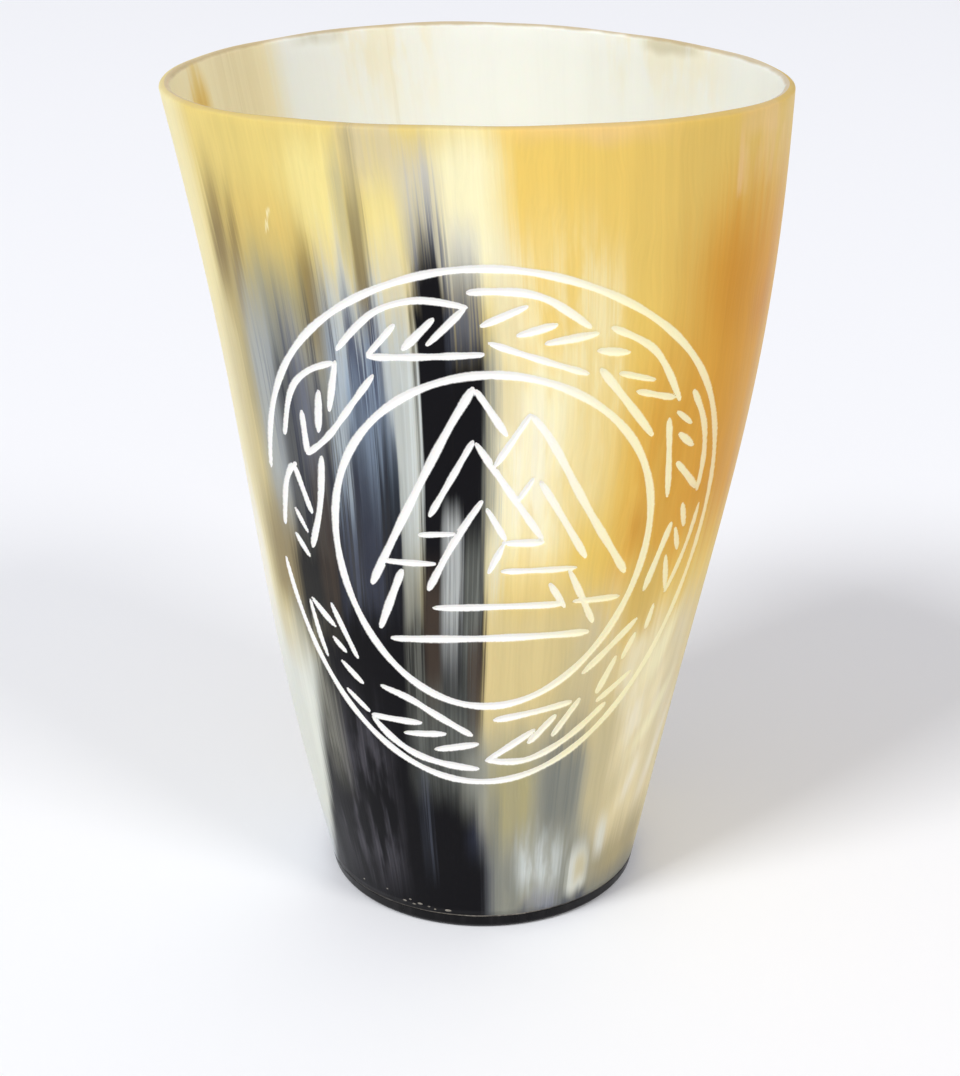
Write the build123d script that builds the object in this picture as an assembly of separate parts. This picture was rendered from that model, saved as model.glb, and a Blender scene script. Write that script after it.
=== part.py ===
"""A horn drinking cup: a tapered, slightly bowed tube of polished horn, closed by a stepped disc of black horn.

The disc's spigot stands under a shoulder in a seat bored into the lower end of the tube, and its flange covers
the tube's end, sanded flush with the outside. Glue fills the joint and ends in a bead around the cup's floor.

Millimetres. The origin is the middle of the face that the cup stands on, and +Z is up.
The engraved side faces -Y, and +X is to the right of someone who looks at it.
"""

import math
import os

from build123d import *

# The outside of the horn
CUP_HEIGHT = 120.0
RIM_DIAMETER = 80.4
BASE_DIAMETER = 46.0
BELLY = 1.65
RIM_OVAL = 1.3
RIM_OVAL_ANGLE = -15.0
RIM_LOBE = 2.0
RIM_LOBE_ANGLE = -27.5

# The bend of the horn, as offsets of its centre line along X
RIM_LEAN = -1.35
MIDDLE_BOW = 1.2
S_BEND = -0.8

# The wall
RIM_WALL = 1.5
BASE_WALL = 3.0

# The base disc and its joint
FLANGE_THICKNESS = 2.0
SPIGOT_HEIGHT = 4.0
SEAT_STEP = 0.6
GLUE_GAP = 0.25
BEAD_HEIGHT = 1.2
BEAD_WIDTH = 1.4

# Share of a wall's thickness that its rounded edge takes
ROUNDING = 0.4

# How finely the curved surfaces are described
SECTION_COUNT = 6
SECTION_POINTS = 16

FULL_TURN = 2 * math.pi
SECTION_SPACING = CUP_HEIGHT / (SECTION_COUNT - 1)
FLOOR_HEIGHT = FLANGE_THICKNESS + SPIGOT_HEIGHT
WALL_END = FLANGE_THICKNESS + GLUE_GAP
SEAT_TOP = FLOOR_HEIGHT + GLUE_GAP


def wall_at(height):
    """Thickness of the horn at a height."""
    return BASE_WALL + (RIM_WALL - BASE_WALL) * height / CUP_HEIGHT


def centre_at(height):
    """Offset along X of the horn's centre line at a height."""
    share = height / CUP_HEIGHT
    bow = MIDDLE_BOW * 4 * share * (1 - share)
    return RIM_LEAN * share + bow + S_BEND * math.sin(FULL_TURN * share)


def mean_radius_at(height):
    """Mean outside radius at a height."""
    share = height / CUP_HEIGHT
    cone = (BASE_DIAMETER + (RIM_DIAMETER - BASE_DIAMETER) * share) / 2
    return cone + BELLY * 4 * share * (1 - share)


def radius_at(height, angle):
    """Outside radius at a height: round at the base, oval with three soft corners at the rim."""
    oval = RIM_OVAL * math.cos(2 * (angle - math.radians(RIM_OVAL_ANGLE)))
    lobe = RIM_LOBE * math.cos(3 * (angle - math.radians(RIM_LOBE_ANGLE)))
    return mean_radius_at(height) + height / CUP_HEIGHT * (oval + lobe)


def floor_radius():
    """Mean inside radius of the horn where the floor meets it."""
    return mean_radius_at(SEAT_TOP) - wall_at(SEAT_TOP)


def seat_radius():
    """Radius of the bored seat, wider than the hollow by the shoulder over the spigot."""
    return floor_radius() + SEAT_STEP


def section(height, inset):
    """The horn's outline at a height, drawn in by an inset."""
    angles = [FULL_TURN * i / SECTION_POINTS for i in range(SECTION_POINTS)]
    points = []
    for angle in angles:
        radius = radius_at(height, angle) - inset
        points.append((centre_at(height) + radius * math.cos(angle), radius * math.sin(angle), height))
    return Wire(Edge.make_spline(points, periodic=True))


def no_inset(height):
    return 0.0


def horn_form(count, inset):
    """A solid through a count of the horn's outlines, from the base up, drawn in by an inset at each height."""
    heights = [SECTION_SPACING * i for i in range(count)]
    return Solid.make_loft([section(height, inset(height)) for height in heights])


def layer(low, high):
    """A block that holds everything between two heights."""
    width = 2 * (RIM_DIAMETER + CUP_HEIGHT)
    return Pos(0, 0, low) * Box(width, width, high - low, align=(Align.CENTER, Align.CENTER, Align.MIN))


def upright_cylinder(radius, low, high):
    """A cylinder about the Z axis between two heights."""
    return Pos(0, 0, low) * Cylinder(radius, high - low, align=(Align.CENTER, Align.CENTER, Align.MIN))


def make_horn_wall(outside, hollow):
    """The tube of horn, with its rounded lip and the bored seat for the disc."""
    tube = outside & layer(WALL_END, CUP_HEIGHT)
    tube = tube - hollow - upright_cylinder(seat_radius(), 0, SEAT_TOP)
    lip = tube.edges().group_by(Axis.Z)[-1]
    return fillet(lip, ROUNDING * RIM_WALL)


def make_base_disc(outside):
    """The stepped disc: a flange flush with the horn and a spigot whose top is the floor of the cup."""
    flange = outside & layer(0, FLANGE_THICKNESS)
    flange = fillet(flange.edges().group_by(Axis.Z)[0], ROUNDING * FLANGE_THICKNESS)
    return flange + upright_cylinder(seat_radius() - GLUE_GAP, FLANGE_THICKNESS / 2, FLOOR_HEIGHT)


def make_glue_seam(outside, hollow, disc):
    """The glue: a film on the flange, a sleeve around the spigot and a bead around the floor."""
    film = outside & layer(FLANGE_THICKNESS, WALL_END)
    sleeve = upright_cylinder(seat_radius(), FLANGE_THICKNESS, SEAT_TOP)
    bead = hollow & layer(FLOOR_HEIGHT, FLOOR_HEIGHT + BEAD_HEIGHT)
    floor = Pos(0, 0, FLOOR_HEIGHT) * Cone(
        floor_radius() - BEAD_WIDTH,
        floor_radius(),
        2 * BEAD_HEIGHT,
        align=(Align.CENTER, Align.CENTER, Align.MIN),
    )
    return film + sleeve + bead - floor - disc


def main():
    outside = horn_form(SECTION_COUNT, no_inset)
    hollow = horn_form(SECTION_COUNT + 1, wall_at)
    disc = make_base_disc(outside)
    parts = {
        "horn_wall": make_horn_wall(outside, hollow),
        "base_disc": disc,
        "glue_seam": make_glue_seam(outside, hollow, disc),
    }
    os.makedirs("parts", exist_ok=True)
    for name, part in parts.items():
        export_step(part, f"parts/{name}.step")
        print(name, round(part.volume), "mm3")


main()
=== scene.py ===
"""The looks of a horn drinking cup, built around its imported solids.

Angles run around the cup in degrees from the middle of its carved front, to the right as seen from there.
Heights and other lengths are in millimetres, above the face that the cup stands on.
"""

import math
from collections import namedtuple

import bpy
import mathutils
import numpy as np
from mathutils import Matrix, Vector
from mathutils.bvhtree import BVHTree
from mathutils.kdtree import KDTree


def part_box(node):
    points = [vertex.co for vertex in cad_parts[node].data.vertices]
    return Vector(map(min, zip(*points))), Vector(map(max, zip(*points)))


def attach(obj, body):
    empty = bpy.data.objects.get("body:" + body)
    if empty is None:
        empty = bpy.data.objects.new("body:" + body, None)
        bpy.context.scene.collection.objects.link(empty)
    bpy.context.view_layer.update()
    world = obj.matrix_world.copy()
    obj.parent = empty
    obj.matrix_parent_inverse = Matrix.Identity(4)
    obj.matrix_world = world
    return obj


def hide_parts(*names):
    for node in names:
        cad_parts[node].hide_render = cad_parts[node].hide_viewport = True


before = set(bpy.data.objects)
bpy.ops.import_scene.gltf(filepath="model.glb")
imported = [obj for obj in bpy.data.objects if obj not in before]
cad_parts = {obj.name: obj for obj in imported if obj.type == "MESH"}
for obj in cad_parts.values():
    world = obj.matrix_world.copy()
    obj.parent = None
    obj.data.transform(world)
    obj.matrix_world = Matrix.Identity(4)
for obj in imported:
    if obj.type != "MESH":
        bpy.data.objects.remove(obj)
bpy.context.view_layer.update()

MM = 0.001
SEED = 11

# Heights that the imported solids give
WALL_LOW, WALL_HIGH = (corner.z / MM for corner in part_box("horn_wall"))
FLANGE_TOP, BEAD_TOP = (corner.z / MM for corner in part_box("glue_seam"))
FLOOR_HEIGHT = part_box("base_disc")[1].z / MM
GLUE_GAP = WALL_LOW - FLANGE_TOP
SHOULDER = FLOOR_HEIGHT + GLUE_GAP

# How the form of the horn is read: rays around it, and smooth waves fitted to where they hit
RAY_REACH = 100.0
RAY_ANGLES = np.radians(np.arange(0, 360, 4.0))
RAY_ROWS = 48
RAY_MARGIN = 1.6
WAVES = 3
POWERS = 6
CENTRE_PASSES = 4

# The mesh of the horn: cells around and up it, how finely a cell is split near a carved stroke, and how the
# worn lip dips, in waves as (share, count, start)
COLUMNS = 240
ROWS = 116
SPLIT = 4
SPLIT_REACH = 1.5
LIP_HEIGHT = 0.7
LIP_ROWS = 8
LIP_DIP = 0.22
LIP_WAVES = ((0.3, 5, 1), (0.2, 13, 0))
INSIDE_ROWS = 40

# The hand-sanded unevenness of the outside: its depth, its grain and where it fades at both ends
UNEVEN_DEPTH = 0.14
UNEVEN_GRAIN = Vector((1 / 13, 1 / 13, 1 / 34))
UNEVEN_FADE = 7.0

# The carved strokes
GROOVE_WIDTH = 1.02
GROOVE_DEPTH = 0.26
GROOVE_SAMPLE = 0.12
BLUNT_END = 0.5
TAPER_LENGTH = 1.4
STROKE_WOBBLE = 0.1
WOBBLE_PACE = (0.6, 1.4)
WIDTH_SPREAD = (0.86, 1.12)
WAVE_START = (0, 6)
RING_STEP = 3.0
CORNER_PASSES = 3
CORNER_CUT = 0.25
FAR_FROM_CARVING = -3.0

# The glue: its bead around the floor, its lumpiness as (middle, swing, counts of waves), and specks of it
# left on the horn as (angle, height, width, tallness)
BEAD_WIDTH = 1.4
BEAD_STEPS = 6
SQUEEZED_OUT = (-0.04, 0.04, (9, 23, 41))
BEAD_TALLNESS = (0.8, 0.2, (4, 11, 19))
BEAD_SPREAD = (0.85, 0.3, (5, 13, 29))
SPECK_SIDES = 12
SPECK_STEPS = 3
SPECK_RISE = 0.07
SPECKS = [
    (-29.0, 3.1, 0.8, 0.35),
    (-26.6, 3.6, 0.5, 0.3),
    (-25.2, 2.9, 0.7, 0.3),
    (-22.8, 3.2, 0.9, 0.4),
    (-19.5, 3.0, 0.5, 0.3),
    (-17.2, 2.7, 0.4, 0.25),
    (-12.4, 2.8, 1.1, 0.45),
    (-36.0, 4.2, 0.4, 0.25),
    (-47.5, 3.9, 0.4, 0.25),
]

# A material holds only so many streaks, so the outside is divided at these angles, with a material for each
SECTOR_EDGES = (-75, -44, -30, -17, -6, 8, 26, 45, 100)
SECTOR_MARGIN = 4.0
SECTORS = len(SECTOR_EDGES) + 1

# The shader lays the horn out on a straight tube of this radius
TUBE_RADIUS = 35.0


def way(angle):
    """The level direction at an angle around the cup."""
    return Vector((math.sin(angle), -math.cos(angle), 0))


def cast(tree, centre, height, angle, outside):
    """Radius of the outside or the inside of the horn, about a centre on the X axis."""
    start = Vector((centre, 0, height)) * MM
    if outside:
        hit = tree.ray_cast(start + way(angle) * RAY_REACH * MM, -way(angle))
        return RAY_REACH - hit[3] / MM
    return tree.ray_cast(start, way(angle))[3] / MM


def horn_tree():
    """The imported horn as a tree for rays."""
    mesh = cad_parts["horn_wall"].data
    corners = [vertex.co for vertex in mesh.vertices]
    return BVHTree.FromPolygons(corners, [tuple(face.vertices) for face in mesh.polygons])


def read_centre_line(tree):
    """The horn's centre line, as powers of the height."""
    heights = np.linspace(WALL_LOW + RAY_MARGIN, WALL_HIGH - RAY_MARGIN, RAY_ROWS)
    centres = np.zeros(RAY_ROWS)
    for _ in range(CENTRE_PASSES):
        for row, height in enumerate(heights):
            radii = [cast(tree, centres[row], height, angle, True) for angle in RAY_ANGLES]
            centres[row] += 2 * np.mean(np.array(radii) * np.sin(RAY_ANGLES))
    return np.polyfit(heights / WALL_HIGH, centres, POWERS)


def terms(angles, heights):
    """Waves around the horn times powers of the height, one column each."""
    share = heights / WALL_HIGH
    waves = [np.ones_like(angles)]
    for count in range(1, WAVES + 1):
        waves += [np.cos(count * angles), np.sin(count * angles)]
    return np.stack([wave * share**power for wave in waves for power in range(POWERS)], -1)


def read_surface(tree, low, outside):
    """The radius of the outside or the inside, as factors of the terms."""
    heights = np.linspace(low + RAY_MARGIN, WALL_HIGH - RAY_MARGIN, RAY_ROWS)
    angles, heights = (grid.ravel() for grid in np.meshgrid(RAY_ANGLES, heights))
    centres = centre_at(heights)
    radii = [cast(tree, *spot, outside) for spot in zip(centres, heights, angles)]
    return np.linalg.lstsq(terms(angles, heights), np.array(radii), rcond=None)[0]


def centre_at(heights):
    return np.polyval(CENTRE_LINE, heights / WALL_HIGH)


def radius_at(surface, angles, heights):
    return terms(angles, heights) @ surface


def place(angles, heights, radii):
    """Points at these angles, heights and radii about the centre line."""
    return np.stack([centre_at(heights) + radii * np.sin(angles), -radii * np.cos(angles), heights], -1)


def place_outside(angles, heights):
    """Points at these angles and heights on the outside of the horn."""
    return place(angles, heights, radius_at(OUTSIDE, angles, heights))


HORN_TREE = horn_tree()
CENTRE_LINE = read_centre_line(HORN_TREE)
OUTSIDE = read_surface(HORN_TREE, WALL_LOW, True)
INSIDE = read_surface(HORN_TREE, FLOOR_HEIGHT, False)
SEAT_RADIUS = cast(HORN_TREE, 0, (WALL_LOW + FLOOR_HEIGHT) / 2, 0, False)


# The carving, as (angle, height) points along each stroke
def ring(middle, half, start, end):
    """Part of an oval ring, clockwise between two clock angles."""
    clock = np.radians(np.arange(start, end + 1, RING_STEP))
    return list(zip(middle[0] + half[0] * np.sin(clock), middle[1] + half[1] * np.cos(clock)))


RINGS = [
    ring((0.2, 64.5), (56.0, 37.9), -80, 259),
    ring((0.8, 63.9), (37.4, 24.6), 0, 360),
]

TRIANGLES = [
    [(-3.6, 86.6), (-10, 80), (-20, 67.5), (-28, 57.5)],
    [(-2.8, 86.3), (3.5, 80.2)],
    [(-3.8, 79.3), (-13.5, 68.5)],
    [(-3, 79), (4, 72.5), (12.4, 65.2)],
    [(3.5, 64.7), (12.6, 64.7)],
    [(-1.8, 70.8), (-8, 65), (-14, 57.5)],
    [(-0.5, 69.7), (3.8, 65.3)],
    [(3.5, 64.5), (0.3, 60.3)],
    [(-16, 65.6), (-8, 66)],
    [(-25, 61.2), (-12.5, 61.4)],
    [(-20.5, 60), (-26.5, 50.8)],
    [(1.2, 76), (8.5, 83)],
    [(9, 82.8), (13, 79.7), (22, 69.2), (33.5, 58.8)],
    [(6.5, 71), (9.6, 74)],
    [(11.3, 73.5), (23, 62)],
    [(3.5, 60.5), (21, 60.5)],
    [(19.7, 60), (27, 51.7)],
    [(15.2, 58.3), (19.3, 54.6)],
    [(-12.8, 54.7), (3, 55.2), (18.5, 55.1)],
    [(21.5, 55.3), (33, 55)],
    [(-23.7, 49.3), (-10, 50), (10, 50.4), (26, 50.2)],
]

PLAIT = [
    # Top left
    [(-31.5, 90.7), (-27, 94), (-22, 96.8), (-15, 98.2), (-10, 98.1), (-4, 97.4)],
    [(-4.5, 97.2), (-12.5, 92.3)],
    [(-11, 95.7), (-17.5, 91.6)],
    [(-19, 94.7), (-25, 90.4)],
    [(-25, 90.2), (-1.2, 91.2)],
    # Top right
    [(-3.5, 99.3), (0, 99.5), (7, 99.4), (12, 98.5), (16, 96.8), (20.5, 94.5)],
    [(-1.2, 95), (8, 97.5)],
    [(6, 93.7), (13.7, 95)],
    [(11.7, 92.6), (22, 93.6)],
    [(0.2, 92.7), (20.2, 88.3)],
    # Upper right
    [(25, 94.2), (30, 92.6), (34, 90.8), (37, 88), (41, 83)],
    [(22.3, 91.3), (28.5, 90.7)],
    [(27, 88), (34.5, 86.5)],
    [(31, 85.2), (39.5, 83.5)],
    [(23, 88.7), (35.3, 78.7)],
    # Right
    [(44.5, 83.8), (48.5, 79.5), (50.3, 76), (51.2, 72), (51, 68.5)],
    [(41, 81.3), (45, 79.2)],
    [(42.3, 78), (46.5, 75.8)],
    [(43, 73.7), (50.3, 69)],
    [(39, 80.5), (41.8, 69)],
    # Lower right
    [(53, 66), (52, 61), (50, 57), (47.5, 53.5)],
    [(47, 67), (49, 63.5)],
    [(46.3, 63.5), (48.5, 60)],
    [(45, 59.5), (47.3, 54)],
    [(44.5, 64.5), (40.2, 55)],
    # Bottom right
    [(39.7, 50.5), (26.5, 43.5)],
    [(44.5, 52), (43.5, 48.5)],
    [(40.2, 48), (37.5, 44.5)],
    [(35.5, 45), (31.5, 39.8)],
    [(41.2, 41.8), (32, 38.3)],
    # Bottom, right of the middle
    [(34.5, 37.5), (25, 33), (15, 30.2), (9, 29.8), (1.5, 30.2)],
    [(1.5, 30.2), (14.5, 35)],
    [(13.3, 33), (20, 37)],
    [(20, 33.8), (26.5, 39.2)],
    [(3.5, 37), (24, 39)],
    # Bottom, left of the middle
    [(-31, 35.5), (-26, 32.8), (-20, 30.8), (-14, 29.8), (-8, 29.2), (-1, 28.8)],
    [(-31, 36), (-17, 36)],
    [(-21.7, 34), (-10.3, 34.5)],
    [(-13, 31.8), (-1.2, 33)],
    [(-27.5, 41.2), (-20, 40), (-14, 38), (-3, 34.5)],
    # Bottom left
    [(-47.4, 52), (-45.6, 46.9), (-43.8, 43.8)],
    [(-46.5, 52.5), (-40, 49.2)],
    [(-40.8, 47.2), (-37.5, 45.5)],
    [(-39, 43.7), (-33.3, 41)],
    [(-38.4, 39.2), (-32.2, 36.5)],
    [(-40.3, 52.7), (-34, 45)],
    # Left
    [(-52.8, 63), (-50.5, 69), (-48, 72), (-46, 73)],
    [(-46.5, 72.8), (-43, 66.3)],
    [(-48, 66), (-45, 63)],
    [(-49, 62), (-45.5, 59.3)],
    [(-38.3, 75), (-40, 67.5), (-44, 61)],
    # Upper left
    [(-48, 77), (-44.5, 84), (-39, 87.3), (-33, 88.8)],
    [(-32.2, 89), (-35, 82)],
    [(-37, 84.5), (-38.3, 78.7)],
    [(-42, 81), (-42, 75)],
    [(-42, 75), (-36, 78), (-30, 83), (-24.3, 87.7)],
]


def rounded(path):
    """The path with its inner corners cut again and again, so that it bends smoothly."""
    path = np.array(path, float)
    for _ in range(CORNER_PASSES if len(path) > 2 else 0):
        early = (1 - CORNER_CUT) * path[:-1] + CORNER_CUT * path[1:]
        late = CORNER_CUT * path[:-1] + (1 - CORNER_CUT) * path[1:]
        path = np.concatenate([path[:1], np.stack([early, late], 1).reshape(-1, 2), path[-1:]])
    return path


def carve_stroke(path, random):
    """Points along a stroke on the horn, and half the width of its groove at each."""
    angles, heights = rounded(path).T
    angles = np.radians(angles)
    corners = place_outside(angles, heights)
    lengths = np.linalg.norm(np.diff(corners, axis=0), axis=1)
    along = np.concatenate([[0], np.cumsum(lengths)])
    even = np.linspace(0, along[-1], max(int(along[-1] / GROOVE_SAMPLE), 2))
    even_angles = np.interp(even, along, angles)
    even_heights = np.interp(even, along, heights)
    points = place_outside(even_angles, even_heights)
    ends = np.minimum(even, along[-1] - even) / TAPER_LENGTH
    taper = BLUNT_END + (1 - BLUNT_END) * np.sqrt(np.clip(ends, 0, 1))
    if np.allclose(path[0], path[-1]):
        taper = 1.0
    wobble = np.sin(even * random.uniform(*WOBBLE_PACE) + random.uniform(*WAVE_START))
    width = GROOVE_WIDTH * random.uniform(*WIDTH_SPREAD)
    return points, width / 2 * taper * (1 + STROKE_WOBBLE * wobble)


def carve_all():
    """A tree of the points along every stroke, and half the groove's width at each."""
    random = np.random.default_rng(SEED)
    carved = [carve_stroke(path, random) for path in RINGS + TRIANGLES + PLAIT]
    points = np.concatenate([points for points, _ in carved])
    tree = KDTree(len(points))
    for index, point in enumerate(points):
        tree.insert(point, index)
    tree.balance()
    return tree, np.concatenate([half for _, half in carved])


CARVING, HALF_WIDTHS = carve_all()


def carving_at(points):
    """How far inside a groove each point lies: 1 in its middle, 0 at its edge, less outside."""
    levels = np.empty(len(points))
    for index, point in enumerate(points):
        _, nearest, distance = CARVING.find(point)
        levels[index] = 1 - distance / HALF_WIDTHS[nearest]
    return np.maximum(levels, FAR_FROM_CARVING)


# The mesh of the horn
CELL_ANGLE = 2 * math.pi / COLUMNS
COLUMN_ANGLES = np.arange(COLUMNS) * CELL_ANGLE
LIP_START = WALL_HIGH - LIP_HEIGHT
CELL_HEIGHT = (LIP_START - WALL_LOW) / ROWS


def split_cells():
    """Which cells of the outside lie near a carved stroke."""
    columns, rows = np.meshgrid(np.arange(COLUMNS) + 0.5, np.arange(ROWS) + 0.5)
    angles = columns.ravel() * CELL_ANGLE
    heights = WALL_LOW + rows.ravel() * CELL_HEIGHT
    middles = place_outside(angles, heights)
    near = [CARVING.find(middle)[2] < SPLIT_REACH for middle in middles]
    return np.array(near).reshape(ROWS, COLUMNS)


def outside_cells(split):
    """Faces of the outside, the place of each corner on the fine lattice, and the top and bottom corners."""
    corners = {}
    faces = []

    def corner(row, column):
        return corners.setdefault((row, column % (COLUMNS * SPLIT)), len(corners))

    def side(start, step, fine):
        """Corners along one side of a cell, without the last."""
        count = SPLIT if fine else 1
        return [corner(start[0] + i * step[0], start[1] + i * step[1]) for i in range(count)]

    def fine_cell(low, left):
        for r in range(low, low + SPLIT):
            for c in range(left, left + SPLIT):
                faces.append([corner(r, c), corner(r, c + 1), corner(r + 1, c + 1), corner(r + 1, c)])

    for row in range(ROWS):
        for column in range(COLUMNS):
            low, left = row * SPLIT, column * SPLIT
            high, right = low + SPLIT, left + SPLIT
            if split[row, column]:
                fine_cell(low, left)
                continue
            below = row > 0 and split[row - 1, column]
            above = row < ROWS - 1 and split[row + 1, column]
            faces.append(
                side((low, left), (0, 1), below)
                + side((low, right), (1, 0), split[row, (column + 1) % COLUMNS])
                + side((high, right), (0, -1), above)
                + side((high, left), (-1, 0), split[row, column - 1])
            )
    top = [corner(ROWS * SPLIT, c * SPLIT) for c in range(COLUMNS)]
    bottom = [corner(0, c * SPLIT) for c in range(COLUMNS)]
    return faces, np.array(list(corners)), top, bottom


def unevenness(points):
    """How far hand sanding leaves each point of the outside below the horn's even form."""
    waves = [mathutils.noise.noise(Vector(point) * UNEVEN_GRAIN) for point in points]
    heights = points[:, 2]
    ends = np.minimum(heights - WALL_LOW, LIP_START - heights) / UNEVEN_FADE
    return UNEVEN_DEPTH * (0.5 + 0.5 * np.array(waves)) * np.clip(ends, 0, 1)


def carved_outside(lattice):
    """The spot of each corner of the outside, as rows of angles, heights and radii, and its carving level."""
    angles = lattice[:, 1] / SPLIT * CELL_ANGLE
    heights = WALL_LOW + lattice[:, 0] / SPLIT * CELL_HEIGHT
    radii = radius_at(OUTSIDE, angles, heights)
    points = place(angles, heights, radii)
    carving = carving_at(points)
    groove = GROOVE_DEPTH * (1 - (1 - np.clip(carving, 0, 1)) ** 2)
    return np.stack([angles, heights, radii - unevenness(points) - groove]), carving


def ring_spots(heights, radii):
    """A ring with a spot in each column, as rows of angles, heights and radii."""
    return np.stack(np.broadcast_arrays(COLUMN_ANGLES, heights, radii))


def lip_and_inside():
    """Rings from the lip down the inside to the lower end of the wall."""
    outer, inner = (radius_at(surface, COLUMN_ANGLES, LIP_START) for surface in (OUTSIDE, INSIDE))
    middle, half = (outer + inner) / 2, (outer - inner) / 2
    waves = [share * np.sin(count * COLUMN_ANGLES + start) for share, count, start in LIP_WAVES]
    dip = LIP_DIP * (0.5 + np.sum(waves, 0))
    rings = []
    for step in range(1, LIP_ROWS):
        turn = math.pi * step / LIP_ROWS
        heights = LIP_START + (LIP_HEIGHT - dip) * math.sin(turn)
        rings.append(ring_spots(heights, middle + half * math.cos(turn)))
    for height in np.linspace(LIP_START, SHOULDER, INSIDE_ROWS):
        rings.append(ring_spots(height, radius_at(INSIDE, COLUMN_ANGLES, height)))
    return rings + [ring_spots(height, SEAT_RADIUS) for height in (SHOULDER, WALL_LOW)]


def bridge(loops):
    """Faces between each ring of corners and the next."""
    faces = []
    for before, after in zip(loops, loops[1:]):
        turned = list(range(1, len(before))) + [0]
        faces += [[before[c], before[t], after[t], after[c]] for c, t in enumerate(turned)]
    return faces


def ring_corners(start, count, sides=COLUMNS):
    """Corner numbers of a count of rings that follow each other."""
    return [list(range(start + i * sides, start + (i + 1) * sides)) for i in range(count)]


def make_horn():
    """The horn: its carved outside, its lip and its inside, as one closed mesh."""
    faces, lattice, top, bottom = outside_cells(split_cells())
    outside, carving = carved_outside(lattice)
    rings = lip_and_inside()
    inside_start = len(faces) + LIP_ROWS // 2 * COLUMNS
    faces += bridge([top] + ring_corners(len(lattice), len(rings)) + [bottom])
    mesh = make_mesh("horn", [outside] + rings, faces)
    sectors = face_sectors(mesh)
    sectors[inside_start:] = SECTORS
    mesh.polygons.foreach_set("material_index", sectors)
    uncarved = np.full(len(rings) * COLUMNS, FAR_FROM_CARVING)
    store(mesh, "carving", "FLOAT", "value", np.concatenate([carving, uncarved]))
    return add_piece("carved_horn", mesh, "horn_wall")


def face_sectors(mesh):
    """The sector of the outside that each face of a mesh lies in."""
    middles = np.array([face.center for face in mesh.polygons])
    angles = np.degrees(np.arctan2(middles[:, 0], -middles[:, 1]))
    return np.searchsorted(SECTOR_EDGES, angles).astype(np.int32)


def make_mesh(name, spots, faces):
    """A smooth mesh that also keeps the place of each corner on the straight tube."""
    angles, heights, radii = np.concatenate(spots, 1)
    mesh = bpy.data.meshes.new(name)
    mesh.from_pydata(place(angles, heights, radii) * MM, [], faces)
    mesh.shade_smooth()
    tube = np.stack([TUBE_RADIUS * np.sin(angles), -TUBE_RADIUS * np.cos(angles), heights], -1)
    store(mesh, "tube_place", "FLOAT_VECTOR", "vector", tube.ravel())
    return mesh


def store(mesh, name, kind, field, values):
    """Keeps a value for each corner of a mesh, for its material to read."""
    attribute = mesh.attributes.new(name, kind, "POINT")
    attribute.data.foreach_set(field, np.asarray(values, np.float32))


def add_object(name, data):
    """An object in the scene."""
    thing = bpy.data.objects.new(name, data)
    bpy.context.scene.collection.objects.link(thing)
    return thing


def add_piece(name, mesh, node):
    """A piece of the cup that stands for one of its solids."""
    piece = add_object(name, mesh)
    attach(piece, "root")
    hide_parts(node)
    return piece


# The mesh of the glue
def lumps(random, middle, swing, counts):
    """A lumpy wave around the cup, by a swing about a middle."""
    waves = [np.sin(count * COLUMN_ANGLES + random.uniform(*WAVE_START)) for count in counts]
    return middle + swing * np.mean(waves, 0)


def glue_rings():
    """Rings around the glue's section: the film under the horn, the sleeve and the bead around the floor."""
    random = np.random.default_rng(SEED)
    squeezed = lumps(random, *SQUEEZED_OUT)
    bead_height = (BEAD_TOP - FLOOR_HEIGHT) * lumps(random, *BEAD_TALLNESS)
    bead_width = BEAD_WIDTH * lumps(random, *BEAD_SPREAD)
    film = (FLANGE_TOP, WALL_LOW)
    rings = [ring_spots(height, radius_at(OUTSIDE, COLUMN_ANGLES, height) + squeezed) for height in film]
    rings += [ring_spots(height, SEAT_RADIUS) for height in (WALL_LOW, SHOULDER)]
    wall = radius_at(INSIDE, COLUMN_ANGLES, SHOULDER)
    for step in range(BEAD_STEPS + 1):
        share = step / BEAD_STEPS
        rings.append(ring_spots(FLOOR_HEIGHT + bead_height * (1 - share) ** 2, wall - bead_width * share))
    return rings + [ring_spots(height, SEAT_RADIUS - GLUE_GAP) for height in (FLOOR_HEIGHT, FLANGE_TOP)]


def speck(angle, height, width, tallness):
    """Rings of a small dome of glue on the outside of the horn."""
    angle = math.radians(angle)
    turn = np.linspace(0, 2 * math.pi, SPECK_SIDES, endpoint=False)
    half_angle = width / 2 / radius_at(OUTSIDE, np.array([angle]), height)[0]
    rings = []
    for step in range(SPECK_STEPS):
        lift = step / SPECK_STEPS * math.pi / 2
        angles = angle + half_angle * math.cos(lift) * np.cos(turn)
        heights = height + tallness / 2 * math.cos(lift) * np.sin(turn)
        radii = radius_at(OUTSIDE, angles, heights) + SPECK_RISE * (2 * math.sin(lift) - 1)
        rings.append(np.stack([angles, heights, radii]))
    return rings


def make_glue():
    """The glue: a ring of film, sleeve and bead, with specks left on the horn above it."""
    rings = glue_rings()
    loops = ring_corners(0, len(rings))
    faces = bridge(loops + loops[:1])
    start = len(rings) * COLUMNS
    for spot in SPECKS:
        loops = ring_corners(start, SPECK_STEPS, SPECK_SIDES)
        faces += bridge(loops) + [loops[-1], loops[0][::-1]]
        rings += speck(*spot)
        start += SPECK_STEPS * SPECK_SIDES
    mesh = make_mesh("glue", rings, faces)
    return add_piece("glue_line", mesh, "glue_seam")


# Materials
def colour(red, green, blue):
    """A colour on the usual 0 to 255 scale, as the shader takes it."""
    shares = [value / 255 for value in (red, green, blue)]
    return tuple(((c + 0.055) / 1.055) ** 2.4 if c > 0.04 else c / 12.92 for c in shares) + (1,)


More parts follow.
